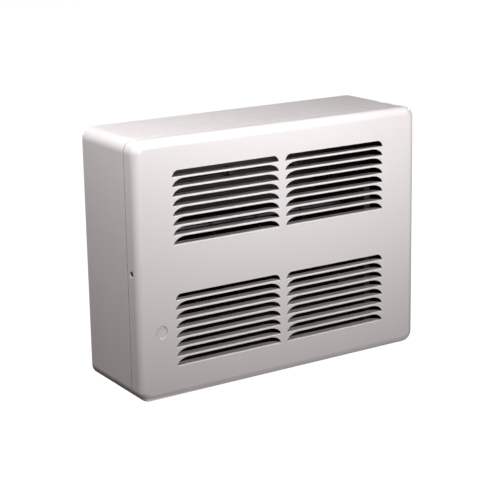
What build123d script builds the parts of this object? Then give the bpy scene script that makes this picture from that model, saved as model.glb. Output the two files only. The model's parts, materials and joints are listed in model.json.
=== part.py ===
from build123d import *
import math
import os

# Wall-mounted fan convector heater, in millimetres.
# X runs to the right, Z up, and the front faces -Y. The origin is the centre of the back face, on the wall.
# "depth" is the distance in front of the wall, so a point at depth d has y = -d.

# ---- Driving dimensions ----
WIDTH = 450.0
HEIGHT = 346.0
DEPTH = 142.0
SHEET = 1.2
CORNER_R = 16.0

COVER_DEPTH = 26.0
COVER_EDGE_R = 10.5
SEAM_GAP = 1.4
BOX_BEND_R = 1.8
LIP = 9.0

LOUVRE_PITCH = 12.7
LOUVRES_PER_BANK = 8
LOUVRE_LENGTH = 163.6
BANKS_X = (-88.9, 84.9)
UPPER_BANK_Z = 121.5
LOWER_BANK_Z = -41.9
SLOT_HEIGHT = 11.5
FIRST_SLOT_HEIGHT = 9.8
SLOT_END = 18.5
FIRST_SLOT_END = 9.0
LOUVRE_BEND_R = 1.5
LOUVRE_ANGLE = 88.0

PLUG_X, PLUG_Z = -192.2, -79.6
PLUG_R = 8.0
PLUG_GAP = 0.35
PLUG_RECESS = 1.9
PLUG_RIM = 0.5
PLUG_HOLE_R = 6.35
SCREW_DEPTH = DEPTH - 15.5
SCREW_R = 1.6
DIMPLE_R = 3.3
DIMPLE_RIM = 1.1
DIMPLE_FLOOR = WIDTH / 2 - 2.4
EAR_OUTER = DIMPLE_FLOOR - SHEET - 0.3
EAR_HALF = 14.0
EAR_SLOT_HALF = 2.4

WALL_HOLES_X = 410.0
WALL_HOLES_Z = 300.0
WALL_HOLE_R = 3.25
KNOCKOUT_R = 11.0
BACK_KNOCKOUTS = [(-190, 112), (-190, -128), (190, -128)]
BOTTOM_KNOCKOUT = (-190, -60)
PANEL_SCREW_R = 1.9
SMALL_SCREW_R = 1.5
PILOT = (0.3, 3.0)

ROTOR_DEPTH, ROTOR_Z = 58.0, 12.0
ROTOR_R = 30.0
BLADE_ROOT_R = 23.5
BLADES = 24
SCROLL_R = 38.0
ROTOR_LEFT, ROTOR_RIGHT = -150.0, 145.2
DISC = 1.2
SHAFT_R = 3.0

LEFT_PLATE = (-156.0, -154.8)
RIGHT_PLATE = (148.8, 150.0)
PLATE_BOTTOM, PLATE_TOP = -150.0, 62.0
PLATE_FRONT = 124.0

ROD_R = 4.25
ROD_DEPTHS = (49.0, 85.0)
ROD_Z = -74.0
FIN_PITCH = 5.2
FIN_COUNT = 48

CHASSIS_SCREWS = [(-163.5, 45), (-163.5, -138), (157.5, 52), (157.5, -138)]
EARTH_X, EARTH_Z = -190.0, 12.0
TERMINAL_Z = 51.0
TERMINAL_FIXINGS = (-201.0, -187.0)
LIMIT_DEPTH, LIMIT_Z = 68.0, -46.0
LIMIT_R = 11.0
FLANGE_SCREW_DEPTHS = (38.5, 95.5)
MOTOR_BOLT_OFFSETS = (-22.0, 22.0)

# ---- What follows from them ----
COVER_BACK = DEPTH - COVER_DEPTH
BOX_FRONT = COVER_BACK - SEAM_GAP
DUCT = (LEFT_PLATE[1], RIGHT_PLATE[0])
DIVIDER_FRONT = DEPTH - 5


# ---- Helpers ----
def seat(depth):
    """The plane parallel to the wall at this depth, facing the room, with X right and Z up."""
    return Plane.XZ.offset(depth)


def section(x):
    """The plane across the width at this x. Its points are (-depth, z)."""
    return Plane.YZ.offset(x)


def block(x, depth, z):
    """A box between two x values, two depths and two heights."""
    centre = Pos((x[0] + x[1]) / 2, -(depth[0] + depth[1]) / 2, (z[0] + z[1]) / 2)
    return centre * Box(abs(x[1] - x[0]), abs(depth[1] - depth[0]), abs(z[1] - z[0]))


def across(radius, x, depth, z):
    """A round bar along X."""
    return extrude(section(min(x)) * Pos(-depth, z) * Circle(radius), abs(x[1] - x[0]))


def outward(radius, x, depth, z):
    """A round bar along Y, away from the wall."""
    return extrude(seat(min(depth)) * Pos(x, z) * Circle(radius), abs(depth[1] - depth[0]))


def upright(radius, x, depth, z):
    """A round bar along Z."""
    return extrude(Plane.XY.offset(min(z)) * Pos(x, -depth) * Circle(radius), abs(z[1] - z[0]))


def hex_across(flats, x, depth, z):
    """A hexagonal bar along X."""
    outline = Rot(0, 0, 30) * RegularPolygon(flats / math.sqrt(3), 6)
    return extrude(section(min(x)) * Pos(-depth, z) * outline, abs(x[1] - x[0]))


def hex_outward(flats, x, depth, z):
    """A hexagonal bar along Y."""
    outline = RegularPolygon(flats / math.sqrt(3), 6)
    return extrude(seat(min(depth)) * Pos(x, z) * outline, abs(depth[1] - depth[0]))


def strip(points, thickness, x):
    """A folded sheet along X: its line is given as (depth, z) points, and it thickens to one side."""
    line = Polyline(*[(-depth, z) for depth, z in points])
    return extrude(section(x[0]) * make_face(offset(line, thickness, side=Side.LEFT)), x[1] - x[0])


def wire(points, radius, bend):
    """A round wire through (x, depth, z) points, with rounded bends."""
    path = FilletPolyline(*[(x, -depth, z) for x, depth, z in points], radius=bend)
    start = Plane(path @ 0, z_dir=path % 0)
    return sweep(start * Circle(radius), path)


parts = {}


def add(name, *solids):
    parts[name] = solids[0] if len(solids) == 1 else Compound(children=list(solids))


# ---- Back box: one folded sheet, open at the front ----
def knockout_ring():
    """The cut round a knockout disc, which two bridges hold in its hole."""
    ring = Circle(KNOCKOUT_R + 0.6) - Circle(KNOCKOUT_R)
    return ring - Rectangle(2.4, 4 * KNOCKOUT_R)


def cover_ear(side):
    """The ear on the front lip that a cover screw slides into from the front."""
    outer = side * EAR_OUTER
    inner = side * (EAR_OUTER - SHEET)
    ear = block((inner, outer), (BOX_FRONT - SHEET, SCREW_DEPTH + 4), (-EAR_HALF, EAR_HALF))
    ear = chamfer(ear.edges().filter_by(Axis.X).group_by(Axis.Y)[0], 3)
    through = (inner - side, outer + side)
    slot = block(through, (SCREW_DEPTH, SCREW_DEPTH + 6), (-EAR_SLOT_HALF, EAR_SLOT_HALF))
    slot += across(EAR_SLOT_HALF, through, SCREW_DEPTH, 0)
    return ear - slot


def back_box():
    shell = extrude(seat(0) * RectangleRounded(WIDTH, HEIGHT, CORNER_R), BOX_FRONT)
    shell = fillet(shell.edges().group_by(Axis.Y)[0], BOX_BEND_R)
    inside = RectangleRounded(WIDTH - 2 * SHEET, HEIGHT - 2 * SHEET, CORNER_R - SHEET)
    shell -= extrude(seat(SHEET) * inside, BOX_FRONT - 2 * SHEET)
    mouth = RectangleRounded(WIDTH - 2 * LIP, HEIGHT - 2 * LIP, CORNER_R - LIP)
    shell -= extrude(seat(BOX_FRONT - 5) * mouth, 10)
    holes = [(sx * WALL_HOLES_X / 2, sz * WALL_HOLES_Z / 2) for sx in (-1, 1) for sz in (-1, 1)]
    cuts = [outward(WALL_HOLE_R, x, (-1, 3), z) for x, z in holes]
    cuts += [extrude(seat(-1) * Pos(x, z) * knockout_ring(), 4) for x, z in BACK_KNOCKOUTS]
    bottom = Plane.XY.offset(-HEIGHT / 2 - 1) * Pos(*BOTTOM_KNOCKOUT) * knockout_ring()
    cuts.append(extrude(bottom, 4))
    cuts += [outward(PANEL_SCREW_R, x, PILOT, z) for x, z in CHASSIS_SCREWS + [(EARTH_X, EARTH_Z)]]
    cuts += [outward(SMALL_SCREW_R, x, PILOT, TERMINAL_Z) for x in TERMINAL_FIXINGS]
    shell -= cuts
    return shell + cover_ear(-1) + cover_ear(1)


# ---- Front cover: one pressed sheet with louvre tongues folded inwards ----
def slot_outline(height, end):
    """A louvre slot from its fold line up: straight below, with quarter-ellipse upper corners."""
    half = LOUVRE_LENGTH / 2
    left = EllipticalCenterArc((-half + end, 0), end, height, start_angle=90)
    right = EllipticalCenterArc((half - end, 0), end, height, start_angle=0)
    top = Line((-half + end, height), (half - end, height))
    bottom = Line((-half, 0), (half, 0))
    return make_face([left, right, top, bottom])


def louvre_tongue(height, end):
    """The sheet cut from a slot, folded in along the slot's lower edge. Its fold line is at z = 0."""
    angle = math.radians(LOUVRE_ANGLE)
    outer, inner = LOUVRE_BEND_R, LOUVRE_BEND_R - SHEET
    reach = height - math.radians(LOUVRE_ANGLE) * (outer - SHEET / 2)
    centre = (-(DEPTH - outer), 0)

    def bend(radius, turn):
        return (centre[0] - radius * math.cos(turn), radius * math.sin(turn))

    def tip(radius):
        x, z = bend(radius, angle)
        return (x + reach * math.sin(angle), z + reach * math.cos(angle))

    outline = make_face([
        Line((-DEPTH, -1), (-DEPTH, 0)),
        ThreePointArc((-DEPTH, 0), bend(outer, angle / 2), bend(outer, angle)),
        Line(bend(outer, angle), tip(outer)),
        Line(tip(outer), tip(inner)),
        Line(tip(inner), bend(inner, angle)),
        ThreePointArc(bend(inner, angle), bend(inner, angle / 2), bend(inner, 0)),
        Line(bend(inner, 0), (-(DEPTH - SHEET), -1)),
        Line((-(DEPTH - SHEET), -1), (-DEPTH, -1)),
    ])
    half = LOUVRE_LENGTH / 2 - 0.2
    tongue = extrude(section(-half) * outline, 2 * half)
    deep = outer + reach
    plan = make_face([
        EllipticalCenterArc((-half + end, -DEPTH), end, deep, start_angle=90),
        EllipticalCenterArc((half - end, -DEPTH), end, deep, start_angle=0),
        Line((-half + end, -DEPTH + deep), (half - end, -DEPTH + deep)),
        Line((-half, -DEPTH), (half, -DEPTH)),
    ])
    plan_solid = extrude(Plane.XY.offset(-2) * plan, 20)
    return tongue & plan_solid


def front_cover():
    outer = extrude(seat(COVER_BACK) * RectangleRounded(WIDTH, HEIGHT, CORNER_R), COVER_DEPTH)
    outer = fillet(outer.edges().group_by(Axis.Y)[0], COVER_EDGE_R)
    inside = RectangleRounded(WIDTH - 2 * SHEET, HEIGHT - 2 * SHEET, CORNER_R - SHEET)
    inner = extrude(seat(COVER_BACK) * inside, COVER_DEPTH - SHEET)
    inner = fillet(inner.edges().group_by(Axis.Y)[0], COVER_EDGE_R - SHEET)
    shell = outer - inner

    # The drawn recess for the plug, and the dimples for the two side screws.
    floor = DEPTH - PLUG_RECESS
    shell += outward(PLUG_R + 1.8, PLUG_X, (floor - SHEET, DEPTH - 0.5), PLUG_Z)
    recess_r = PLUG_R + PLUG_GAP
    shell -= outward(recess_r, PLUG_X, (floor, DEPTH + 1), PLUG_Z)
    rim = Cone(recess_r, recess_r + 2 * PLUG_RIM, 2 * PLUG_RIM)
    shell -= Pos(PLUG_X, -DEPTH, PLUG_Z) * Rot(90, 0, 0) * rim
    shell -= outward(PLUG_HOLE_R, PLUG_X, (floor - 3, DEPTH), PLUG_Z)
    for side in (-1, 1):
        cup = (side * (DIMPLE_FLOOR - SHEET), side * (WIDTH / 2 - 0.5))
        shell += across(DIMPLE_R + 1.8, cup, SCREW_DEPTH, 0)
        shell -= across(DIMPLE_R, (side * DIMPLE_FLOOR, side * WIDTH), SCREW_DEPTH, 0)
        rim = Cone(DIMPLE_R, DIMPLE_R + 2 * DIMPLE_RIM, 2 * DIMPLE_RIM)
        shell -= Pos(side * WIDTH / 2, -SCREW_DEPTH, 0) * Rot(0, side * 90, 0) * rim
        shell -= across(SCREW_R + 0.2, (side * (DIMPLE_FLOOR - SHEET - 1), side * WIDTH), SCREW_DEPTH, 0)

    cuts, tongues = [], []
    for row in range(LOUVRES_PER_BANK):
        height, end = (SLOT_HEIGHT, SLOT_END) if row else (FIRST_SLOT_HEIGHT, FIRST_SLOT_END)
        slot = extrude(seat(DEPTH - SHEET - 1) * slot_outline(height, end), SHEET + 2)
        tongue = louvre_tongue(height, end)
        for x in BANKS_X:
            for first in (UPPER_BANK_Z, LOWER_BANK_Z):
                place = Pos(x, 0, first - row * LOUVRE_PITCH)
                cuts.append(place * slot)
                tongues.append(place * tongue)
    return shell - cuts + tongues


def thermostat_plug():
    """A snap-in plug: a thin cap with four spring fingers behind it."""
    cap_back = DEPTH - PLUG_RECESS
    cap = outward(PLUG_R, PLUG_X, (cap_back, cap_back + 0.8), PLUG_Z)
    cap = fillet(cap.edges().group_by(Axis.Y)[0], 0.4)
    neck = outward(PLUG_HOLE_R - 0.25, PLUG_X, (cap_back - 6, cap_back), PLUG_Z)
    neck -= outward(PLUG_HOLE_R - 1.25, PLUG_X, (cap_back - 6, cap_back), PLUG_Z)
    neck -= block((PLUG_X - 8, PLUG_X + 8), (cap_back - 7, cap_back - 1.5), (PLUG_Z - 1, PLUG_Z + 1))
    neck -= block((PLUG_X - 1, PLUG_X + 1), (cap_back - 7, cap_back - 1.5), (PLUG_Z - 8, PLUG_Z + 8))
    return cap + neck


def cover_screw(side):
    """A pan-head screw whose head sits in the cover's side dimple."""
    head = across(DIMPLE_R - 0.4, (side * DIMPLE_FLOOR, side * (DIMPLE_FLOOR + 1.7)), SCREW_DEPTH, 0)
    outer_rim = head.edges().group_by(Axis.X)[-1 if side > 0 else 0]
    head = fillet(outer_rim, 0.8)
    head += across(SCREW_R, (side * (DIMPLE_FLOOR - 9.5), side * DIMPLE_FLOOR), SCREW_DEPTH, 0)
    recess = (side * (DIMPLE_FLOOR + 0.8), side * (DIMPLE_FLOOR + 2))
    slot = block(recess, (SCREW_DEPTH - 1.8, SCREW_DEPTH + 1.8), (-0.45, 0.45))
    cross = block(recess, (SCREW_DEPTH - 0.45, SCREW_DEPTH + 0.45), (-1.8, 1.8))
    return head - slot - cross


def cover_nut(side):
    ear_inner = EAR_OUTER - SHEET
    nut = hex_across(7, (side * (ear_inner - 3.3), side * (ear_inner - 0.3)), SCREW_DEPTH, 0)
    return nut - across(SCREW_R, (side * (ear_inner - 5), side * ear_inner), SCREW_DEPTH, 0)


add("back_box", back_box())
add("front_cover", front_cover())
add("thermostat_plug", thermostat_plug())
add("cover_screws", cover_screw(-1), cover_screw(1))
add("cover_nuts", cover_nut(-1), cover_nut(1))


# ---- Chassis: two side plates, the scroll and the divider between intake and discharge ----
def side_plate(x, outward_side):
    """A side plate with a flange on the back panel and a return at its front edge."""
    plate = block(x, (SHEET, PLATE_FRONT), (PLATE_BOTTOM, PLATE_TOP))
    edge = x[0] if outward_side < 0 else x[1]
    far = edge + outward_side * 14
    plate += block((edge, far), (SHEET, 2 * SHEET), (PLATE_BOTTOM, PLATE_TOP))
    turned = (edge, edge + outward_side * 8)
    plate += block(turned, (PLATE_FRONT - SHEET, PLATE_FRONT), (PLATE_BOTTOM, PLATE_TOP))
    screws = [outward(2.1, sx, (0, 4), sz) for sx, sz in CHASSIS_SCREWS if sx * outward_side > 0]
    return plate - screws


def left_side_plate():
    plate = side_plate(LEFT_PLATE, -1)
    cuts = [across(11, (-160, -150), ROTOR_DEPTH, ROTOR_Z)]
    cuts += [across(ROD_R, (-160, -150), depth, ROD_Z) for depth in ROD_DEPTHS]
    cuts.append(across(8, (-160, -150), LIMIT_DEPTH, LIMIT_Z))
    cuts += [across(1.5, (-160, -150), depth, ROD_Z) for depth in FLANGE_SCREW_DEPTHS]
    return plate - cuts


def right_side_plate():
    plate = side_plate(RIGHT_PLATE, 1)
    cuts = [across(9, (146, 152), ROTOR_DEPTH, ROTOR_Z)]
    cuts += [across(1.5, (146, 152), ROTOR_DEPTH + shift, ROTOR_Z) for shift in MOTOR_BOLT_OFFSETS]
    return plate - cuts


def chassis_screw(x, z):
    head = outward(4, x, (2 * SHEET, 2 * SHEET + 2.4), z)
    head = fillet(head.edges().group_by(Axis.Y)[0], 1)
    head -= block((x - 3, x + 3), (3.9, 6), (z - 0.5, z + 0.5))
    return head + outward(PANEL_SCREW_R, x, (0.4, 2 * SHEET), z)


def blower_scroll():
    """The sheet that wraps the back of the rotor and turns the discharge forwards at the bottom."""
    start = math.radians(50)
    top = (-(ROTOR_DEPTH - SCROLL_R * math.sin(start)), ROTOR_Z + SCROLL_R * math.cos(start))
    half = math.radians(72)
    middle = (-(ROTOR_DEPTH - SCROLL_R * math.sin(half)), ROTOR_Z + SCROLL_R * math.cos(half))
    back = -(ROTOR_DEPTH - SCROLL_R)
    line = Wire([
        ThreePointArc(top, middle, (back, ROTOR_Z)).edge(),
        Line((back, ROTOR_Z), (back, -88)).edge(),
        CenterArc((back - 46, -88), 46, 0, -90).edge(),
        Line((back - 46, -134), (-(PLATE_FRONT - 1), -134)).edge(),
    ])
    face = make_face(offset(line, 0.8, side=Side.LEFT))
    return extrude(section(LEFT_PLATE[1]) * face, RIGHT_PLATE[0] - LEFT_PLATE[1])


add("left_side_plate", left_side_plate())
add("right_side_plate", right_side_plate())
add("chassis_screws", *[chassis_screw(x, z) for x, z in CHASSIS_SCREWS])
add("blower_scroll", blower_scroll())
add("air_divider", strip([(94, -46), (88, -8), (DIVIDER_FRONT, -8), (DIVIDER_FRONT, 8)], 0.8, DUCT))
add("divider_gasket", block(DUCT, (DIVIDER_FRONT + 0.8, DEPTH - SHEET - 0.3), (-7, 8)))


# ---- Cross-flow rotor ----
def blade_outline():
    """One forward-curved blade, from the root circle to the rim, at the top of the rotor."""
    inner = Line((0, BLADE_ROOT_R), (0.7, BLADE_ROOT_R)).edge()
    return make_face([
        inner,
        ThreePointArc((0.7, BLADE_ROOT_R), (1.35, 26.4), (4.2, 29.3)),
        Line((4.2, 29.3), (3.7, 29.8)),
        ThreePointArc((3.7, 29.8), (0.6, 26.7), (0, BLADE_ROOT_R)),
    ])


def ring_of_blades():
    return [Rot(0, 0, turn * 360 / BLADES) * blade_outline() for turn in range(BLADES)]


ROTOR_CENTRE = Pos(-ROTOR_DEPTH, ROTOR_Z)
BLADE_SKETCH = Sketch() + ring_of_blades()
DISC_XS = [ROTOR_LEFT + index * (ROTOR_RIGHT - DISC - ROTOR_LEFT) / 4 for index in range(5)]


def rotor_disc(x, hole):
    outline = Circle(ROTOR_R + 0.4) - Circle(hole) - BLADE_SKETCH
    return extrude(section(x) * ROTOR_CENTRE * outline, DISC)


def rotor_blades():
    length = ROTOR_RIGHT - ROTOR_LEFT
    return extrude(section(ROTOR_LEFT) * ROTOR_CENTRE * BLADE_SKETCH, length).solids()


def rotor_hub(x, bore_x):
    """A turned hub riveted to an end disc and bored for its shaft."""
    hub = across(9, x, ROTOR_DEPTH, ROTOR_Z)
    return hub - across(SHAFT_R, bore_x, ROTOR_DEPTH, ROTOR_Z)


left_hub = rotor_hub((ROTOR_LEFT + DISC, ROTOR_LEFT + DISC + 10), (-152, -130))
right_hub = rotor_hub((ROTOR_RIGHT - DISC - 11, ROTOR_RIGHT - DISC), (120, 150))
set_screw = upright(2, 138, ROTOR_DEPTH, (ROTOR_Z + SHAFT_R, ROTOR_Z + 9.5))
right_hub -= upright(2, 138, ROTOR_DEPTH, (ROTOR_Z + SHAFT_R, ROTOR_Z + 12))
set_screw -= upright(0.9, 138, ROTOR_DEPTH, (ROTOR_Z + 7, ROTOR_Z + 12))

add("rotor_blades", *rotor_blades())
add("rotor_discs", *[rotor_disc(x, SHAFT_R if x in (DISC_XS[0], DISC_XS[-1]) else 12) for x in DISC_XS])
add("rotor_left_hub", left_hub)
add("rotor_right_hub", right_hub)
add("hub_set_screw", set_screw)
add("rotor_stub_shaft", across(SHAFT_R, (-163, ROTOR_LEFT + DISC + 10), ROTOR_DEPTH, ROTOR_Z))

# The stub shaft turns in a sintered bush, which a grooved rubber ring holds in the left plate.
bush = across(7, (-160, -152.2), ROTOR_DEPTH, ROTOR_Z)
bush -= across(SHAFT_R + 0.05, (-161, -150), ROTOR_DEPTH, ROTOR_Z)
mount = across(13, (-159, -152.6), ROTOR_DEPTH, ROTOR_Z) - across(7, (-160, -150), ROTOR_DEPTH, ROTOR_Z)
mount -= across(14, LEFT_PLATE, ROTOR_DEPTH, ROTOR_Z) - across(11, LEFT_PLATE, ROTOR_DEPTH, ROTOR_Z)
add("rotor_bush", bush)
add("rotor_bush_mount", mount)

# ---- Shaded-pole motor, on the right plate, driving the rotor directly ----
CORE = (166.0, 184.0)
CORE_BOTTOM = ROTOR_Z - 56
BOBBIN_SIDES = (ROTOR_DEPTH - 15, ROTOR_DEPTH + 15)
RING_LEGS = [(-17.8, 6.5), (17.8, -6.5)]


def motor_core():
    """The laminated stack: round bore above, coil window below."""
    core = block(CORE, (ROTOR_DEPTH - 28, ROTOR_DEPTH + 28), (CORE_BOTTOM, ROTOR_Z + 26))
    core = chamfer(core.edges().filter_by(Axis.X), 3)
    core -= across(16, (160, 190), ROTOR_DEPTH, ROTOR_Z)
    core -= block((160, 190), (ROTOR_DEPTH - 17, ROTOR_DEPTH + 17), (CORE_BOTTOM + 14, ROTOR_Z - 22))
    core -= [across(1.6, (160, 190), ROTOR_DEPTH + shift, ROTOR_Z) for shift in MOTOR_BOLT_OFFSETS]
    for shift, rise in RING_LEGS:
        core -= shading_ring_legs(shift, rise, (160, 190))
    return core


def shading_ring_legs(shift, rise, x):
    """The two bars of a shading ring that pass through the stack beside the bore."""
    depth, z = ROTOR_DEPTH + shift, ROTOR_Z + rise
    near = block(x, (depth - 1, depth + 1), (z - 1, z + 1))
    far_z = z + math.copysign(9, rise)
    return near + block(x, (depth - 1, depth + 1), (far_z - 1, far_z + 1))


def shading_ring(shift, rise):
    ends = (CORE[0] - 2, CORE[1] + 2)
    ring = shading_ring_legs(shift, rise, ends)
    near_z = ROTOR_Z + rise
    depth = ROTOR_DEPTH + shift
    for end in ((ends[0], CORE[0]), (CORE[1], ends[1])):
        ring += block(end, (depth - 1, depth + 1), (near_z, near_z + math.copysign(9, rise)))
    return ring


def motor_bobbin():
    """The plastic bobbin round the bottom leg of the stack."""
    leg = (CORE_BOTTOM, CORE_BOTTOM + 14)
    tube = block((CORE[0] - 1.2, CORE[1] + 1.2), BOBBIN_SIDES, (leg[0] - 1.2, leg[1] + 1.2))
    for side in (BOBBIN_SIDES[0], BOBBIN_SIDES[1] - 1.5):
        tube += block((CORE[0] - 10, CORE[1] + 10), (side, side + 1.5), (leg[0] - 10, leg[1] + 10))
    return tube - block(CORE, (0, 120), leg)


def motor_winding():
    leg = (CORE_BOTTOM, CORE_BOTTOM + 14)
    depth = (BOBBIN_SIDES[0] + 1.5, BOBBIN_SIDES[1] - 1.5)
    coil = block((CORE[0] - 8.5, CORE[1] + 8.5), depth, (leg[0] - 8.5, leg[1] + 8.5))
    coil = fillet(coil.edges().filter_by(Axis.Y), 4)
    return coil - block((CORE[0] - 1.2, CORE[1] + 1.2), (0, 120), (leg[0] - 1.2, leg[1] + 1.2))


def motor_bracket(plate_x, core_face):
    """A bearing bracket: a bar across the bore with a boss, standing off the stack on two pillars."""
    bar = block(plate_x, (ROTOR_DEPTH - 27, ROTOR_DEPTH + 27), (ROTOR_Z - 7, ROTOR_Z + 7))
    bar = fillet(bar.edges().filter_by(Axis.X), 6)
    bar += across(9, plate_x, ROTOR_DEPTH, ROTOR_Z)
    for shift in MOTOR_BOLT_OFFSETS:
        bar += across(4.5, sorted((core_face, plate_x[0])), ROTOR_DEPTH + shift, ROTOR_Z)
    bar -= [across(1.6, (140, 210), ROTOR_DEPTH + shift, ROTOR_Z) for shift in MOTOR_BOLT_OFFSETS]
    return bar - across(5, (140, 210), ROTOR_DEPTH, ROTOR_Z)


def bearing(x):
    return across(5, x, ROTOR_DEPTH, ROTOR_Z) - across(SHAFT_R + 0.05, (140, 210), ROTOR_DEPTH, ROTOR_Z)


def motor_bolt(shift):
    """A long bolt from the outer bracket through the stack and both pillars to the side plate."""
    bolt = across(1.5, (146, 194), ROTOR_DEPTH + shift, ROTOR_Z)
    return bolt + hex_across(5.5, (194, 196.5), ROTOR_DEPTH + shift, ROTOR_Z)


def motor_nut(shift):
    nut = hex_across(5.5, (146.4, 148.8), ROTOR_DEPTH + shift, ROTOR_Z)
    return nut - across(1.5, (140, 150), ROTOR_DEPTH + shift, ROTOR_Z)


INNER_BRACKET = (150.0, 154.0)
OUTER_BRACKET = (190.0, 194.0)
motor_rotor = across(15.2, (CORE[0] - 1, CORE[1] + 1), ROTOR_DEPTH, ROTOR_Z)
motor_rotor = fillet(motor_rotor.edges(), 0.8)

add("motor_core", motor_core())
add("motor_shading_rings", *[shading_ring(shift, rise) for shift, rise in RING_LEGS])
add("motor_bobbin", motor_bobbin())
add("motor_winding", motor_winding())
add("motor_rotor", motor_rotor - across(SHAFT_R, (150, 200), ROTOR_DEPTH, ROTOR_Z))
add("motor_shaft", across(SHAFT_R, (ROTOR_RIGHT - DISC - 11, 200), ROTOR_DEPTH, ROTOR_Z))
add("motor_inner_bracket", motor_bracket(INNER_BRACKET, CORE[0]))
add("motor_outer_bracket", motor_bracket(OUTER_BRACKET, CORE[1]))
add("motor_bearings", bearing(INNER_BRACKET), bearing((OUTER_BRACKET[0], OUTER_BRACKET[1] + 2)))
add("motor_bolts", *[motor_bolt(shift) for shift in MOTOR_BOLT_OFFSETS])
add("motor_bolt_nuts", *[motor_nut(shift) for shift in MOTOR_BOLT_OFFSETS])

# ---- Heating element: a sheathed hairpin rod with pressed-on fins, in the discharge ----
ROD_MID = sum(ROD_DEPTHS) / 2
ROD_BEND_R = (ROD_DEPTHS[1] - ROD_DEPTHS[0]) / 2
ROD_TURN_X = 122.0
ROD_LEFT = -162.0
FIRST_FIN_X = -136.0
TAB_END = ROD_LEFT - 15


def element_rod():
    """Two straight legs and the half-round turn that joins them at the right."""
    legs = [across(ROD_R, (ROD_LEFT, ROD_TURN_X), depth, ROD_Z) for depth in ROD_DEPTHS]
    profile = section(ROD_TURN_X) * Pos(-ROD_DEPTHS[0], ROD_Z) * Circle(ROD_R)
    axis = Axis((ROD_TURN_X, -ROD_MID, ROD_Z), (0, 0, -1))
    turn = revolve(profile, axis, 180)
    return legs[0] + turn + legs[1]


def element_fin(x):
    outline = Pos(-ROD_MID, ROD_Z) * RectangleRounded(70, 26, 3)
    for depth in ROD_DEPTHS:
        outline -= Pos(-depth, ROD_Z) * Circle(ROD_R)
    return extrude(section(x) * outline, 0.6)


def element_flange():
    """The oval plate on the outside of the left side plate, with two collars for the rod's ends."""
    face = Pos(-ROD_MID, ROD_Z) * RectangleRounded(64, 20, 9.9)
    for depth in ROD_DEPTHS:
        face -= Pos(-depth, ROD_Z) * Circle(ROD_R)
    for depth in FLANGE_SCREW_DEPTHS:
        face -= Pos(-depth, ROD_Z) * Circle(1.7)
    plate = extrude(section(LEFT_PLATE[0] - 1.5) * face, 1.5)
    for depth in ROD_DEPTHS:
        plate += across(6.2, (LEFT_PLATE[0] - 5, LEFT_PLATE[0] - 1.5), depth, ROD_Z)
        plate -= across(ROD_R, (-170, -150), depth, ROD_Z)
    return plate


def element_support():
    """The bracket that carries the right end of the rod from the right side plate."""
    plate = block((119, 120), (ROD_MID - 36, ROD_MID + 36), (ROD_Z - 10, ROD_Z + 10))
    plate -= [across(ROD_R, (110, 125), depth, ROD_Z) for depth in ROD_DEPTHS]
    for depth in ((ROD_MID - 36, ROD_MID - 35), (ROD_MID + 35, ROD_MID + 36)):
        plate += block((119, RIGHT_PLATE[0]), depth, (ROD_Z - 10, ROD_Z + 10))
    return plate


def flange_screw(depth):
    head = across(2.8, (LEFT_PLATE[0] - 3.3, LEFT_PLATE[0] - 1.5), depth, ROD_Z)
    head -= block((-160, LEFT_PLATE[0] - 2.6), (depth - 3, depth + 3), (ROD_Z - 0.4, ROD_Z + 0.4))
    return head + across(1.5, (LEFT_PLATE[0] - 1.5, LEFT_PLATE[1] + 1), depth, ROD_Z)


def insulator(depth):
    """A stepped ceramic bead on the end of the sheath, round its live pin."""
    bead = across(3.6, (ROD_LEFT - 3, ROD_LEFT), depth, ROD_Z)
    bead += across(2.6, (ROD_LEFT - 6, ROD_LEFT - 3), depth, ROD_Z)
    return bead - across(1.4, (ROD_LEFT - 10, ROD_LEFT + 5), depth, ROD_Z)


def element_terminal(depth):
    """The live pin with the flat tab that a lead pushes on to."""
    pin = across(1.4, (ROD_LEFT - 8, ROD_LEFT), depth, ROD_Z)
    return pin + block((TAB_END, ROD_LEFT - 8), (depth - 3.15, depth + 3.15), (ROD_Z - 0.4, ROD_Z + 0.4))


add("element_rod", element_rod())
add("element_fins", *[element_fin(FIRST_FIN_X + index * FIN_PITCH) for index in range(FIN_COUNT)])
add("element_flange", element_flange())
add("element_support", element_support())
add("element_flange_screws", *[flange_screw(depth) for depth in FLANGE_SCREW_DEPTHS])
add("element_insulators", *[insulator(depth) for depth in ROD_DEPTHS])
add("element_terminals", *[element_terminal(depth) for depth in ROD_DEPTHS])

# ---- Over-temperature cut-out on the left side plate ----
LIMIT_BACK = LEFT_PLATE[0] - 15
limit_body = across(LIMIT_R, (LIMIT_BACK, LEFT_PLATE[0]), LIMIT_DEPTH, LIMIT_Z)
limit_body += across(7.8, (LEFT_PLATE[0], LEFT_PLATE[1] + 1), LIMIT_DEPTH, LIMIT_Z)
flange = (LEFT_PLATE[0] - 2, LEFT_PLATE[0])
limit_body += block(flange, (LIMIT_DEPTH - 5, LIMIT_DEPTH + 5), (LIMIT_Z - 17, LIMIT_Z + 17))
for side in (-1, 1):
    tab_z = LIMIT_Z + side * 7
    tab = (LIMIT_BACK - 7, LIMIT_BACK)
    limit_body += block(tab, (LIMIT_DEPTH - 3, LIMIT_DEPTH + 3), (tab_z - 0.4, tab_z + 0.4))
limit_body -= across(2.6, (LIMIT_BACK - 1, LIMIT_BACK + 10), LIMIT_DEPTH, LIMIT_Z)
reset = across(2.3, (LIMIT_BACK - 4, LIMIT_BACK + 6), LIMIT_DEPTH, LIMIT_Z)
reset = fillet(reset.edges().group_by(Axis.X)[0], 0.8)
add("limit_switch", limit_body)
add("limit_reset_button", reset)

# ---- Thermostat behind the plug, set with a screwdriver ----
BODY_FRONT = 106.0
BRACKET_FRONT = BODY_FRONT + SHEET
SPINDLE_END = 114.5
BODY_BACK = 90.0
TAB_BACK = 83.0


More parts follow.
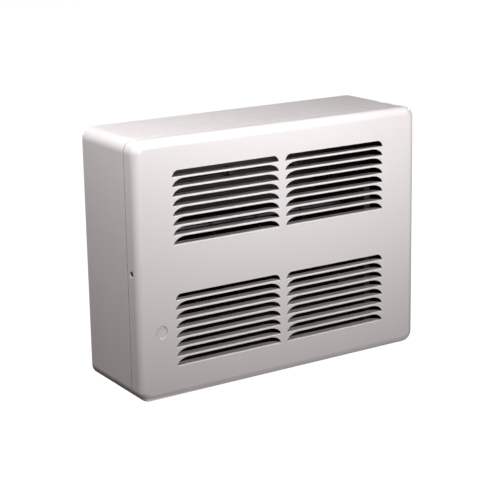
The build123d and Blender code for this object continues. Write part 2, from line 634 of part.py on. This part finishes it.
def thermostat_body():
    body = block((PLUG_X - 15, PLUG_X + 15), (BODY_BACK, BODY_FRONT), (PLUG_Z - 15, PLUG_Z + 15))
    body = fillet(body.edges().filter_by(Axis.Y), 2)
    for shift in (-9, 9):
        tab = (PLUG_X + shift - 3, PLUG_X + shift + 3)
        body += block(tab, (TAB_BACK, BODY_BACK), (PLUG_Z - 0.4, PLUG_Z + 0.4))
    return body - outward(SHAFT_R + 0.05, PLUG_X, (95.9, BODY_FRONT + 1), PLUG_Z)


def thermostat_bushing():
    sleeve = outward(4.5, PLUG_X, (BODY_FRONT, BODY_FRONT + 5), PLUG_Z)
    return sleeve - outward(SHAFT_R + 0.05, PLUG_X, (BODY_BACK, SPINDLE_END), PLUG_Z)


def thermostat_spindle():
    """The spindle has a screwdriver slot across its end."""
    spindle = outward(SHAFT_R, PLUG_X, (96, SPINDLE_END), PLUG_Z)
    spindle = chamfer(spindle.edges().group_by(Axis.Y)[0], 0.5)
    slot = block((PLUG_X - 4, PLUG_X + 4), (SPINDLE_END - 2.5, SPINDLE_END + 1), (PLUG_Z - 0.5, PLUG_Z + 0.5))
    return spindle - slot


def thermostat_bracket():
    bracket = block((PLUG_X - 18, LEFT_PLATE[0]), (BODY_FRONT, BRACKET_FRONT), (PLUG_Z - 17, PLUG_Z + 17))
    bracket -= outward(4.5, PLUG_X, (BODY_FRONT - 1, BRACKET_FRONT + 1), PLUG_Z)
    foot = (LEFT_PLATE[0] - SHEET, LEFT_PLATE[0])
    return bracket + block(foot, (BODY_FRONT - 4, BRACKET_FRONT), (PLUG_Z - 17, PLUG_Z + 17))


nut = hex_outward(14, PLUG_X, (BRACKET_FRONT, BRACKET_FRONT + 2.5), PLUG_Z)
add("thermostat_body", thermostat_body())
add("thermostat_bushing", thermostat_bushing())
add("thermostat_spindle", thermostat_spindle())
add("thermostat_nut", nut - outward(4.5, PLUG_X, (BODY_FRONT, BRACKET_FRONT + 5), PLUG_Z))
add("thermostat_bracket", thermostat_bracket())

# ---- Supply connection ----
TERMINAL_XS = (-208.0, -194.0, -180.0)
TERMINAL_FRONT = 20.0


def terminal_block():
    body = block((-216, -172), (SHEET, TERMINAL_FRONT), (TERMINAL_Z - 15, TERMINAL_Z + 15))
    body = chamfer(body.edges().filter_by(Axis.X).group_by(Axis.Y)[0], 3)
    cuts = []
    for x in TERMINAL_XS:
        for rise in (-7, 7):
            cuts.append(outward(3.1, x, (13, 25), TERMINAL_Z + rise))
        cuts.append(upright(1.7, x, 8, (TERMINAL_Z - 20, TERMINAL_Z - 9)))
        cuts.append(upright(1.7, x, 8, (TERMINAL_Z + 9, TERMINAL_Z + 20)))
    for x in TERMINAL_FIXINGS:
        cuts.append(outward(1.6, x, (0, 12), TERMINAL_Z))
        cuts.append(outward(3.0, x, (12, 25), TERMINAL_Z))
    return body - cuts


def terminal_screw(x, z):
    screw = outward(3.1, x, (13, 15.5), z)
    return screw - block((x - 4, x + 4), (14.6, 16), (z - 0.5, z + 0.5))


def fixing_screw(x, z):
    head = outward(2.7, x, (12, 14), z)
    head -= block((x - 4, x + 4), (13.2, 15), (z - 0.4, z + 0.4))
    return head + outward(SMALL_SCREW_R, x, (0.4, 12), z)


def earth_screw():
    head = hex_outward(7, EARTH_X, (SHEET + 1, SHEET + 4), EARTH_Z)
    head -= block((EARTH_X - 5, EARTH_X + 5), (SHEET + 3, SHEET + 5), (EARTH_Z - 0.5, EARTH_Z + 0.5))
    head += outward(4.6, EARTH_X, (SHEET, SHEET + 1), EARTH_Z)
    return head + outward(PANEL_SCREW_R, EARTH_X, (0.4, SHEET), EARTH_Z)


add("terminal_block", terminal_block())
add("terminal_screws", *[terminal_screw(x, TERMINAL_Z + rise) for x in TERMINAL_XS for rise in (-7, 7)])
add("terminal_block_screws", *[fixing_screw(x, TERMINAL_Z) for x in TERMINAL_FIXINGS])
add("earth_screw", earth_screw())

# ---- Internal wiring, as (x, depth, z) points ----
WIRE_R = 1.4
MOTOR_WIRE_R = 1.1
below, above = TERMINAL_Z - 10, TERMINAL_Z + 10
live = wire([(-208, 8, below), (-208, 8, -50), (-208, 60, PLUG_Z), (PLUG_X - 9, 66, PLUG_Z),
             (PLUG_X - 9, TAB_BACK, PLUG_Z)], WIRE_R, 4)
neutral = wire([(-180, 8, below), (-180, 8, -50), (-190, 34, ROD_Z), (-190, 49, ROD_Z),
                (TAB_END, 49, ROD_Z)], WIRE_R, 4)
switched = wire([(PLUG_X + 9, TAB_BACK, PLUG_Z), (PLUG_X + 9, LIMIT_DEPTH, PLUG_Z),
                 (-190, LIMIT_DEPTH, LIMIT_Z - 20), (-190, LIMIT_DEPTH, LIMIT_Z - 7),
                 (LIMIT_BACK - 7, LIMIT_DEPTH, LIMIT_Z - 7)], WIRE_R, 3)
to_element = wire([(LIMIT_BACK - 7, LIMIT_DEPTH, LIMIT_Z + 7), (-190, LIMIT_DEPTH, LIMIT_Z + 7),
                   (-190, 85, LIMIT_Z), (-190, 85, ROD_Z), (TAB_END, 85, ROD_Z)], WIRE_R, 3)
COIL_Z = CORE_BOTTOM - 5
MOTOR_WIRE_ROUTES = [
    [(-208, 8, above), (-208, 8, 84), (172, 8, 84), (172, 8, COIL_Z), (172, BOBBIN_SIDES[0], COIL_Z)],
    [(-180, 8, above), (-180, 8, 88), (178, 8, 88), (178, 8, COIL_Z), (178, BOBBIN_SIDES[0], COIL_Z)],
]
motor_wires = [wire(route, MOTOR_WIRE_R, 6) for route in MOTOR_WIRE_ROUTES]


def wire_clip(x):
    """A saddle on the back panel with a channel for each motor wire."""
    clip = block((x - 4, x + 4), (SHEET, 11), (79, 93))
    clip = chamfer(clip.edges().filter_by(Axis.X).group_by(Axis.Y)[0], 2)
    return clip - [across(MOTOR_WIRE_R, (x - 5, x + 5), 8, z) for z in (84, 88)]


add("wires_supply", live, neutral)
add("wires_element", switched, to_element)
add("wires_motor", *motor_wires)
add("wire_clips", *[wire_clip(x) for x in (-110, 0, 110)])

os.makedirs("parts", exist_ok=True)
for name, shape in parts.items():
    shape.label = name
    export_step(shape, f"parts/{name}.step")
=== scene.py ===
import json
import math

import bpy
from mathutils import Matrix, Vector, noise


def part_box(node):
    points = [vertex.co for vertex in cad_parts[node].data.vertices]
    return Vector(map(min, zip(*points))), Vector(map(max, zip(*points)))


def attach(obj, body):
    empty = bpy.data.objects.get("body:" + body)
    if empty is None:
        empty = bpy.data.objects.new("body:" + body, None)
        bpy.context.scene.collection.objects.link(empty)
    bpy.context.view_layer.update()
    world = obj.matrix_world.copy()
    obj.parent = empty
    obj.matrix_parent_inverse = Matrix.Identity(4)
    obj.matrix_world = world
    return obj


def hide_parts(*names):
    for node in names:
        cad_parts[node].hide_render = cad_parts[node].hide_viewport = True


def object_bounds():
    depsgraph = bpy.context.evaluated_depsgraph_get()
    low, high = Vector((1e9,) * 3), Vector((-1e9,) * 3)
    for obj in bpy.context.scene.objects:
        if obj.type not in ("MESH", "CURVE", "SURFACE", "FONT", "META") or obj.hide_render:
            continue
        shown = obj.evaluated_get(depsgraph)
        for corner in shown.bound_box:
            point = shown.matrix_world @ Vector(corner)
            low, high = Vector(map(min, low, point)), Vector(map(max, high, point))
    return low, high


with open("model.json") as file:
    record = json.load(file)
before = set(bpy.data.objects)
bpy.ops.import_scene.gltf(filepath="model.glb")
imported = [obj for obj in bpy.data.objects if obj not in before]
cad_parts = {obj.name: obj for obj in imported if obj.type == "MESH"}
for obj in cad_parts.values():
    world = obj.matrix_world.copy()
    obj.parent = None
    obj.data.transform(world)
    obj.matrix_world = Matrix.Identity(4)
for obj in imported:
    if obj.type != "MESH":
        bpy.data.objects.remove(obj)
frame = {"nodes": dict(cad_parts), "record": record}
cad_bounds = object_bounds()
nodes = frame["nodes"]
slot_of = {part["node"]: part["material_slot"] for part in frame["record"]["subparts"]}

# Sizes of the case, in metres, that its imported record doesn't give.
CORNER_R = 0.016
EDGE_R = 0.0105
SEAM_GAP = 0.0014
PLUG_SEAT_R = 0.0095

PAINT = (0.795, 0.766, 0.776)
# Painted shade inside the case, and the paint of the tongues' upper faces in there.
INTERIOR_SHADE = (0.018, 0.016, 0.015)
TONGUE_COAT = (0.62, 0.57, 0.555)
# Painted shade in the seam between cover and box.
SEAM_SHADE = (0.02, 0.02, 0.02)
FLOOR_DROP = 0.9
FLOOR_REACH = 14.0
AMBIENT = (1.0, 0.68, 0.58)
AMBIENT_STRENGTH = 0.045


# ---- Materials: every one is procedural, in the object's own metres ----
class Finish:
    """A Principled surface with mottled colour, uneven roughness, a fine bump and rubbed edges."""

    def __init__(self, name, colour, roughness, metallic=0.0):
        self.material = bpy.data.materials.new(name)
        self.material.use_nodes = True
        self.nodes = self.material.node_tree.nodes
        self.links = self.material.node_tree.links
        self.shader = self.nodes["Principled BSDF"]
        self.shader.inputs["Base Color"].default_value = (*colour, 1)
        self.shader.inputs["Roughness"].default_value = roughness
        self.shader.inputs["Metallic"].default_value = metallic
        self.material.diffuse_color = (*colour, 1)
        self.colour = colour
        self.roughness = roughness
        self.place = self.nodes.new("ShaderNodeTexCoord").outputs["Object"]
        self.shade = None
        self.bump_link = None

    def noise(self, scale, detail=3.0, stretch=(1, 1, 1)):
        """Noise with a scale in cells a metre, optionally stretched along an axis."""
        mapping = self.nodes.new("ShaderNodeMapping")
        mapping.inputs["Scale"].default_value = stretch
        self.links.new(self.place, mapping.inputs["Vector"])
        texture = self.nodes.new("ShaderNodeTexNoise")
        texture.inputs["Scale"].default_value = scale
        texture.inputs["Detail"].default_value = detail
        self.links.new(mapping.outputs["Vector"], texture.inputs["Vector"])
        return texture.outputs["Fac"]

    def ranged(self, value, low, high, to_low, to_high):
        """A value eased from one range into another."""
        node = self.nodes.new("ShaderNodeMapRange")
        node.interpolation_type = "SMOOTHSTEP"
        limits = {"From Min": low, "From Max": high, "To Min": to_low, "To Max": to_high}
        for key, number in limits.items():
            node.inputs[key].default_value = number
        self.links.new(value, node.inputs["Value"])
        return node.outputs["Result"]

    def mix(self, factor, colour):
        """Mixes a colour over what the surface has so far."""
        node = self.nodes.new("ShaderNodeMix")
        node.data_type = "RGBA"
        self.links.new(factor, node.inputs["Factor"])
        if self.shade is None:
            node.inputs["A"].default_value = (*self.colour, 1)
        else:
            self.links.new(self.shade, node.inputs["A"])
        node.inputs["B"].default_value = (*colour, 1)
        self.shade = node.outputs["Result"]
        self.links.new(self.shade, self.shader.inputs["Base Color"])
        return self

    def mottle(self, colour, scale, amount=0.5, stretch=(1, 1, 1), detail=3.0):
        """Cloudy colour variation towards another colour."""
        clouds = self.noise(scale, detail, stretch)
        return self.mix(self.ranged(clouds, 0.3, 0.7, 0, amount), colour)

    def uneven(self, spread, scale, stretch=(1, 1, 1)):
        """Roughness that varies by plus or minus spread."""
        clouds = self.noise(scale, 4, stretch)
        value = self.ranged(clouds, 0.25, 0.75, self.roughness - spread, self.roughness + spread)
        self.links.new(value, self.shader.inputs["Roughness"])
        return self

    def bumped(self, value, height, strength=1.0):
        """Adds a bump of this height in metres to the bumps so far."""
        node = self.nodes.new("ShaderNodeBump")
        node.inputs["Distance"].default_value = height
        node.inputs["Strength"].default_value = strength
        self.links.new(value, node.inputs["Height"])
        if self.bump_link is not None:
            self.links.new(self.bump_link, node.inputs["Normal"])
        self.bump_link = node.outputs["Normal"]
        self.links.new(self.bump_link, self.shader.inputs["Normal"])
        return self

    def grain(self, scale, height, strength=1.0, stretch=(1, 1, 1), detail=2.0):
        """A fine bump of this height in metres."""
        return self.bumped(self.noise(scale, detail, stretch), height, strength)

    def rubbed(self, colour, radius, amount):
        """Lighter or barer edges, where the surface turns within this radius."""
        bevel = self.nodes.new("ShaderNodeBevel")
        bevel.samples = 4
        bevel.inputs["Radius"].default_value = radius
        geometry = self.nodes.new("ShaderNodeNewGeometry")
        dot = self.nodes.new("ShaderNodeVectorMath")
        dot.operation = "DOT_PRODUCT"
        self.links.new(bevel.outputs["Normal"], dot.inputs[0])
        self.links.new(geometry.outputs["Normal"], dot.inputs[1])
        return self.mix(self.ranged(dot.outputs["Value"], 0.98, 0.75, 0, amount), colour)

    def dust_and_shade_in_hollows(self, colour, reach, amount):
        """Mixes a colour in where ambient occlusion finds hollows within reach: a lighter colour
        is a film of dust that the air doesn't clear, a darker one is painted shade in the corners.
        """
        hollow = self.nodes.new("ShaderNodeAmbientOcclusion")
        hollow.samples = 4
        hollow.inputs["Distance"].default_value = reach
        return self.mix(self.ranged(hollow.outputs["AO"], 0.75, 0.25, 0, amount), colour)

    def math(self, operation, first, second=None, third=None):
        """A Math node on numbers or on other nodes' outputs."""
        node = self.nodes.new("ShaderNodeMath")
        node.operation = operation
        for socket, value in zip(node.inputs, (first, second, third)):
            if isinstance(value, (int, float)):
                socket.default_value = value
            elif value is not None:
                self.links.new(value, socket)
        return node.outputs["Value"]

    def axes(self, vector):
        """A vector's X, Y and Z outputs."""
        node = self.nodes.new("ShaderNodeSeparateXYZ")
        self.links.new(vector, node.inputs["Vector"])
        return node.outputs

    def depth_inside(self, half_x, half_z, front_y, corner, edge):
        """How far a point lies outside the rounded shell of the case, negative inside it."""
        place = self.axes(self.place)

        def rounded(first, second, radius):
            """The distance from two faces that meet in a rounded corner."""
            a, b = (self.math("ADD", value, radius) for value in (first, second))
            outer = [self.math("MAXIMUM", value, 0.0) for value in (a, b)]
            length = self.math("SQRT", self.math("MULTIPLY_ADD", outer[0], outer[0],
                                                 self.math("MULTIPLY", outer[1], outer[1])))
            inner = self.math("MINIMUM", self.math("MAXIMUM", a, b), 0.0)
            return self.math("SUBTRACT", self.math("ADD", length, inner), radius)

        side = self.math("SUBTRACT", self.math("ABSOLUTE", place["X"]), half_x)
        top = self.math("SUBTRACT", self.math("ABSOLUTE", place["Z"]), half_z)
        face = self.math("SUBTRACT", front_y, place["Y"])
        back = place["Y"]
        shell = rounded(rounded(side, top, corner), face, edge)
        return self.math("MAXIMUM", shell, back)

    def painted_interior_shade(self, outside, colour, tongue):
        """Painted shade: the inside of the sheet is coloured near black for the shade inside the
        case. A tongue's upper face was its outside, so it is pale.
        """
        inside = self.ranged(outside, -0.0004, -0.0009, 0, 1)
        inside = self.math("MULTIPLY", inside, self.off_the_plug())
        self.mix(inside, colour)
        geometry = self.nodes.new("ShaderNodeNewGeometry")
        up = self.ranged(self.axes(geometry.outputs["Normal"])["Z"], 0.5, 0.9, 0, 1)
        return self.mix(self.math("MULTIPLY", inside, up), tongue)

    def off_the_plug(self):
        """1 away from the plug's recess, which is painted like the face and kept free of the
        painted interior shade, and 0 in it.
        """
        low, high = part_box("thermostat_plug")
        place = self.axes(self.place)
        a = self.math("SUBTRACT", place["X"], (low.x + high.x) / 2)
        b = self.math("SUBTRACT", place["Z"], (low.z + high.z) / 2)
        reach = self.math("SQRT", self.math("MULTIPLY_ADD", a, a, self.math("MULTIPLY", b, b)))
        return self.ranged(reach, PLUG_SEAT_R, PLUG_SEAT_R + 0.0005, 0, 1)

    def seam_shade(self, seam_y, colour):
        """Painted shade in the seam: the faces of the sheet that face each other across the seam
        are coloured dark.
        """
        away = self.math("ABSOLUTE", self.math("SUBTRACT", self.axes(self.place)["Y"], seam_y))
        near = self.ranged(away, SEAM_GAP / 2 + 0.0003, SEAM_GAP / 2 + 0.0001, 0, 1)
        return self.mix(near, colour)


def painted(name, colour, roughness=0.36):
    """Powder coat with a faint orange peel and slightly uneven gloss, with painted shade on the
    inside, in its hollows and in the seam.
    """
    warm = tuple(c * k for c, k in zip(colour, (1.0, 0.985, 0.983)))
    finish = Finish(name, colour, roughness)
    finish.mottle(warm, 9, 0.6).mottle(tuple(c * 0.965 for c in colour), 900, 0.5, detail=2)
    finish.uneven(0.05, 60).grain(420, 0.00006, 0.35).grain(2600, 0.00001, 0.3)
    finish.rubbed(tuple(min(1, c * 1.04) for c in colour), 0.0005, 0.4)
    # Darker in hollows within 3 mm: painted shade.
    finish.dust_and_shade_in_hollows(tuple(c * 0.6 for c in warm), 0.003, 0.4)
    low, high = cad_bounds
    outside = finish.depth_inside(high.x, high.z, low.y, CORNER_R, EDGE_R)
    # Painted shade: the inside of the case is coloured near black, except the upward tongue faces.
    finish.painted_interior_shade(outside, INTERIOR_SHADE, TONGUE_COAT)
    # Painted shade: the faces across the seam are coloured dark.
    return finish.seam_shade(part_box("front_cover")[1].y + SEAM_GAP / 2, SEAM_SHADE)


def enamelled(name, colour):
    """Black stove enamel on sheet steel, its black standing as painted shade for what shows
    through the louvres: satin, with a faint ripple and greyed edges.
    """
    finish = Finish(name, colour, 0.38)
    finish.mottle(tuple(c * 1.6 for c in colour), 40, 0.5)
    finish.uneven(0.08, 90).grain(500, 0.00005, 0.35)
    finish.rubbed((0.22, 0.22, 0.23), 0.0004, 0.6)
    return finish.dust_and_shade_in_hollows((0.16, 0.15, 0.14), 0.008, 0.25)


def metal(name, colour, roughness, stretch=(1, 1, 1), scale=700, marks=0.4):
    """Bare or plated metal with a directional grain, bright edges and painted shade in its
    hollows.
    """
    finish = Finish(name, colour, roughness, 1.0)
    finish.mottle(tuple(c * 0.72 for c in colour), 160, marks, stretch).uneven(0.1, scale, stretch)
    finish.grain(scale, 0.00003, 0.35, stretch)
    finish.rubbed(tuple(min(1, c * 1.25) for c in colour), 0.0004, 0.7)
    # Darker in the hollows: painted shade.
    return finish.dust_and_shade_in_hollows(tuple(c * 0.4 for c in colour), 0.006, 0.4)


def plastic(name, colour, roughness, speckle=1400):
    """Moulded plastic or rubber: a fine spark-eroded grain."""
    finish = Finish(name, colour, roughness)
    finish.mottle(tuple(c * 0.8 for c in colour), 220, 0.5)
    finish.uneven(0.07, 300).grain(speckle, 0.00003, 0.4)
    finish.rubbed(tuple(min(1, c * 1.3 + 0.02) for c in colour), 0.0004, 0.5)
    # Towards grey in the hollows: lighter dust on the dark mouldings, painted shade on the pale
    # ones.
    return finish.dust_and_shade_in_hollows((0.3, 0.28, 0.26), 0.005, 0.15)


def laminated(name, colour):
    """A stack of thin varnished sheets, edge on, along X."""
    finish = metal(name, colour, 0.45, scale=300, marks=0.3)
    wave = finish.nodes.new("ShaderNodeTexWave")
    wave.inputs["Scale"].default_value = 310
    wave.inputs["Distortion"].default_value = 0.4
    finish.links.new(finish.place, wave.inputs["Vector"])
    finish.bumped(wave.outputs["Fac"], 0.00012, 0.8)
    gaps = finish.ranged(wave.outputs["Fac"], 0.4, 0.0, 0, 0.7)
    return finish.mix(gaps, tuple(c * 0.3 for c in colour))


along_x = (0.06, 1, 1)
finishes = {
    "painted_steel": painted("powder_coat", PAINT),
    "plated_screws": metal("zinc_plate", (0.62, 0.61, 0.58), 0.30, scale=1200),
    # The chassis' near black is painted shade for the parts seen through the louvres.
    "chassis_enamel": enamelled("black_enamel_as_shade", (0.014, 0.013, 0.013)),
    "foam": plastic("gasket_foam", (0.035, 0.035, 0.038), 0.9),
    # The rotor's near black is painted shade behind the upper louvres.
    "rotor_aluminium": metal("rotor_black_as_shade", (0.055, 0.055, 0.06), 0.42, along_x, 900),
    "bright_steel": metal("ground_steel", (0.56, 0.56, 0.57), 0.24, (1, 1, 1), 2400),
    "sintered_bronze": metal("sintered_bronze", (0.42, 0.27, 0.13), 0.5, scale=2600, marks=0.7),
    "black_rubber": plastic("black_rubber", (0.022, 0.022, 0.023), 0.75, 900),
    "core_laminations": laminated("core_laminations", (0.16, 0.165, 0.19)),
    "bobbin_plastic": plastic("bobbin_plastic", (0.70, 0.66, 0.55), 0.45),
    "copper_winding": metal("enamelled_copper", (0.50, 0.17, 0.06), 0.26, scale=1800, marks=0.5),
    "cast_bracket": metal("die_cast", (0.46, 0.46, 0.47), 0.48, scale=900, marks=0.6),
    "element_sheath": metal("oxidised_sheath", (0.20, 0.18, 0.17), 0.5, along_x, 500, 0.8),
    "element_fins": metal("oxidised_fins", (0.085, 0.08, 0.078), 0.46, (1, 1, 0.1), 700),
    "ceramic": plastic("glazed_ceramic", (0.78, 0.75, 0.66), 0.22, 500),
    "tin_terminals": metal("tinned_brass", (0.60, 0.59, 0.57), 0.32, scale=1500),
    "black_plastic": plastic("black_moulding", (0.020, 0.020, 0.022), 0.42),
    "red_plastic": plastic("red_moulding", (0.45, 0.02, 0.015), 0.3),
    "brass": metal("turned_brass", (0.62, 0.42, 0.14), 0.25, scale=1800),
    "green_screw": metal("green_passivate", (0.03, 0.26, 0.08), 0.32, scale=1300),
    "supply_wires": plastic("black_insulation", (0.022, 0.022, 0.024), 0.33, 500),
    "element_wires": plastic("red_insulation", (0.36, 0.025, 0.02), 0.38, 500),
    "motor_wires": plastic("brown_insulation", (0.035, 0.022, 0.018), 0.36, 500),
    "nylon_clip": plastic("black_nylon", (0.022, 0.022, 0.022), 0.4, 700),
}
for finish in finishes.values():
    finish.shader.inputs["Specular IOR Level"].default_value = 0.5

for name, node in nodes.items():
    material = finishes[slot_of[name]].material
    for index in range(max(1, len(node.data.materials))):
        if index < len(node.data.materials):
            node.data.materials[index] = material
        else:
            node.data.materials.append(material)


# ---- Pieces with more detail than their CAD solids ----
def piece(name, mesh, slot, body="housing", stands_for=None, smooth=True):
    """Puts a mesh in the scene as a part of the object, riding on a body."""
    made = bpy.data.objects.new(name, mesh)
    bpy.context.scene.collection.objects.link(made)
    mesh.materials.append(finishes[slot].material)
    if smooth:
        mesh.polygons.foreach_set("use_smooth", [True] * len(mesh.polygons))
    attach(made, body)
    if stands_for:
        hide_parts(stands_for)
    return made


def lofted(name, rings):
    """A mesh skin over rings of points that all have the same count, with its ends closed."""
    count = len(rings[0])
    points = [point for ring in rings for point in ring]
    faces = []
    for row in range(len(rings) - 1):
        for index in range(count):
            after = (index + 1) % count
            faces.append((row * count + index, row * count + after,
                          (row + 1) * count + after, (row + 1) * count + index))
    faces.append(tuple(reversed(range(count))))
    faces.append(tuple((len(rings) - 1) * count + index for index in range(count)))
    mesh = bpy.data.meshes.new(name)
    mesh.from_pydata(points, [], faces)
    mesh.validate()
    return mesh


def rounded_ring(half_a, half_b, radius, count=24):
    """Points round a rounded rectangle, as (a, b) pairs."""
    ring = []
    for index in range(count):
        turn = 2 * math.pi * index / count
        a, b = math.cos(turn), math.sin(turn)
        corner_a = math.copysign(half_a - radius, a)
        corner_b = math.copysign(half_b - radius, b)
        ring.append((corner_a + radius * a, corner_b + radius * b))
    return ring


def foam_strip():
    """The gasket: cut foam with an open-cell skin, slightly swollen between its edges."""
    low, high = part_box("divider_gasket")
    centre = (low + high) / 2
    half_y, half_z = (high.y - low.y) / 2, (high.z - low.z) / 2
    rings = []
    steps = 420
    for step in range(steps + 1):
        x = low.x + (high.x - low.x) * step / steps
        ring = []
        for a, b in rounded_ring(half_y, half_z, 0.0006, 32):
            cells = noise.noise(Vector((x * 900, a * 900, b * 900 + 3))) * 0.00016
            swell = 1 - 0.00012 * math.cos(step * 0.11) / half_y
            y = centre.y + a * swell - math.copysign(abs(cells), a)
            ring.append((x, y, centre.z + b - cells * 0.5))
        rings.append(ring)
    piece("gasket_foam", lofted("gasket_foam", rings), "foam", stands_for="divider_gasket")


def wound_coil():
    """The winding: a layer of enamelled wire turns laid side by side round the bobbin."""
    low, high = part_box("motor_winding")
    centre = (low + high) / 2
    half_x, half_z = (high.x - low.x) / 2, (high.z - low.z) / 2
    wire_r, corner, per_turn = 0.00034, 0.004, 48
    turns = int((high.y - low.y) / (2.04 * wire_r)) - 1
    rings = []
    outline = rounded_ring(half_x - wire_r, half_z - wire_r, corner, per_turn)
    for step in range(turns * per_turn + 1):
        a, b = outline[step % per_turn]
        before = outline[(step - 1) % per_turn]
        after = outline[(step + 1) % per_turn]
        along = Vector((after[0] - before[0], 0, after[1] - before[1])).normalized()
        out = Vector((along.z, 0, -along.x))
        y = low.y + wire_r * 1.2 + 2.04 * wire_r * step / per_turn
        jitter = 0.00005 * noise.noise(Vector((step * 0.11, 2, 5)))
        at = Vector((centre.x + a, y, centre.z + b)) + out * jitter
        ring = []
        for side in range(6):
            turn = math.pi * side / 3
            sideways = Vector((0, wire_r * math.sin(turn), 0))
            ring.append(tuple(at + out * wire_r * math.cos(turn) + sideways))
        rings.append(ring)
    coil = lofted("winding_wire", rings)
    piece("winding_wire", coil, "copper_winding", stands_for="motor_winding")
    inner = rounded_ring(half_x - 2 * wire_r, half_z - 2 * wire_r, corner - wire_r, 32)
    core = [[(centre.x + a, y, centre.z + b) for a, b in inner] for y in (low.y, high.y)]
    piece("winding_layers", lofted("winding_layers", core), "copper_winding", smooth=False)


foam_strip()
wound_coil()

# ---- Stage ----
box_low = cad_bounds[0]
floor_mesh = bpy.data.meshes.new("floor")
corners = [(-1, -1), (1, -1), (1, 1), (-1, 1)]
floor_z = box_low.z - FLOOR_DROP
floor_points = [(x * FLOOR_REACH, y * FLOOR_REACH, floor_z) for x, y in corners]
floor_mesh.from_pydata(floor_points, [], [(0, 1, 2, 3)])
floor = bpy.data.objects.new("floor", floor_mesh)
bpy.context.scene.collection.objects.link(floor)
floor_finish = Finish("pale_floor", (0.9, 0.9, 0.9), 0.8)
floor_finish.mottle((0.88, 0.88, 0.89), 2, 0.3).grain(200, 0.0002, 0.2)
floor_finish.shader.inputs["Emission Color"].default_value = (1, 1, 1, 1)
floor_finish.shader.inputs["Emission Strength"].default_value = 1.0
floor_mesh.materials.append(floor_finish.material)
floor.visible_diffuse = False
floor.visible_glossy = False

# The camera sees a white backdrop, while the object is lit by a weak warm ambient light.
world = bpy.data.worlds.new("studio")
bpy.context.scene.world = world
world.use_nodes = True
sky = world.node_tree.nodes["Background"]
seen = world.node_tree.nodes.new("ShaderNodeBackground")
seen.inputs["Color"].default_value = (1, 1, 1, 1)
seen.inputs["Strength"].default_value = 1.0
sky.inputs["Color"].default_value = (*AMBIENT, 1)
sky.inputs["Strength"].default_value = AMBIENT_STRENGTH
rays = world.node_tree.nodes.new("ShaderNodeLightPath")
both = world.node_tree.nodes.new("ShaderNodeMixShader")
world_links = world.node_tree.links
world_links.new(rays.outputs["Is Camera Ray"], both.inputs["Fac"])
world_links.new(sky.outputs["Background"], both.inputs[1])
world_links.new(seen.outputs["Background"], both.inputs[2])
world_links.new(both.outputs["Shader"], world.node_tree.nodes["World Output"].inputs["Surface"])


def softbox(name, place, aim, width, height, power):
    """A rectangular lamp that the camera doesn't see."""
    lamp = bpy.data.lights.new(name, "AREA")
    lamp.shape = "RECTANGLE"
    lamp.size, lamp.size_y = width, height
    lamp.energy = power
    lamp.color = (1, 0.995, 0.99)
    holder = bpy.data.objects.new(name, lamp)
    holder.location = place
    holder.rotation_euler = (aim - place).to_track_quat("-Z", "Y").to_euler()
    holder.visible_camera = False
    bpy.context.scene.collection.objects.link(holder)


# The key and top lamps grade the top and the left side, and the front strip grades the front.
front = Vector((0, box_low.y, 0))
softbox("key", front + Vector((-0.625, -0.13, 1.0)), front, 0.45, 0.45, 12.0)
top_aim = front + Vector((0, 0.07, 0))
softbox("top", front + Vector((-0.35, 0.12, 1.0)), top_aim, 0.5, 0.5, 2.1)
strip_aim = front + Vector((0.11, 0, 0.52))
softbox("front_strip", front + Vector((0.11, -0.6, 0.19)), strip_aim, 0.8, 0.25, 5.3)

# Soft fills for the faces that the room would light, each placed where it reaches no other face.
softbox("back_fill", Vector((0, 1.3, 0.12)), Vector((0, 0, 0)), 0.4, 0.3, 7.5)
softbox("right_fill", Vector((0.95, 0.7, 0.02)), Vector((0.2, -0.07, 0)), 0.2, 0.2, 12.0)
softbox("under_fill", Vector((0, -0.04, -0.95)), Vector((0, -0.04, 0)), 0.4, 0.1, 2.2)

# ---- Camera ----
camera_data = bpy.data.cameras.new("camera")
camera = bpy.data.objects.new("camera", camera_data)
bpy.context.scene.collection.objects.link(camera)
bpy.context.scene.camera = camera
camera_data.sensor_width = 36.0
camera_data.lens = 102.36
camera_data.shift_y = -0.100
YAW, PITCH, ROLL = (math.radians(angle) for angle in (32.577, 13.130, 0.986))
looking = Matrix.Rotation(-YAW, 4, "Z") @ Matrix.Rotation(math.pi / 2 - PITCH, 4, "X")
looking = looking @ Matrix.Rotation(-ROLL, 4, "Z")
camera.matrix_world = Matrix.Translation((-1.0362, -1.6795, 0.5025)) @ looking
camera_data.clip_start = 0.05
camera_data.clip_end = 60.0

bpy.context.scene.view_settings.view_transform = "Standard"
bpy.context.scene.view_settings.look = "None"
